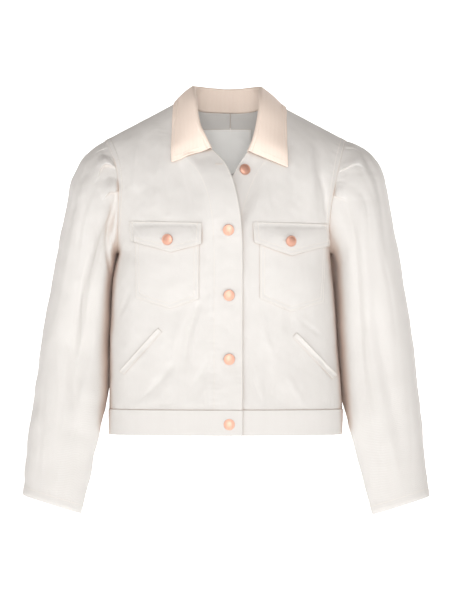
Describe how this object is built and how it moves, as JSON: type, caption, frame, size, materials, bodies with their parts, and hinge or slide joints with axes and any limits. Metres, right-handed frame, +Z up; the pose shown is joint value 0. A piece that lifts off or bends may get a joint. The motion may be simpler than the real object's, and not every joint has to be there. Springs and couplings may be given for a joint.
{
  "type": "denim jacket",
  "caption": "Cropped ecru denim jacket with puffed, tucked sleeves, a corduroy collar, flapped chest pockets, slanted welts and copper buttons, keeping its worn hollow form.",
  "frame": {"origin": "midway between the two points where the neckline meets the shoulder seams, where the wearer's shoulders carry it", "axes": "+Z up, the front looks along -Y, the wearer's left is +X"},
  "size_m": [0.6475, 0.2315, 0.6844],
  "materials": {
    "denim": "ecru cotton twill, matt",
    "corduroy": "fine rose-beige corduroy, wales up and down",
    "label": "plain white woven satin",
    "copper": "polished copper plate"
  },
  "bodies": {
    "root": {"front_right": "denim", "front_left": "denim", "back_right": "denim", "back_left": "denim", "sleeve_right": "denim", "sleeve_left": "denim", "waistband": "denim", "chest_pocket_right": "denim", "chest_pocket_left": "denim", "pocket_flap_right": "denim", "pocket_flap_left": "denim", "welt_right": "denim", "welt_left": "denim", "collar": "corduroy", "neck_label": "label", "front_button_1": "copper", "front_button_2": "copper", "front_button_3": "copper", "front_button_4": "copper", "front_button_5": "copper", "flap_button_right": "copper", "flap_button_left": "copper"}
  },
  "joints": []
}
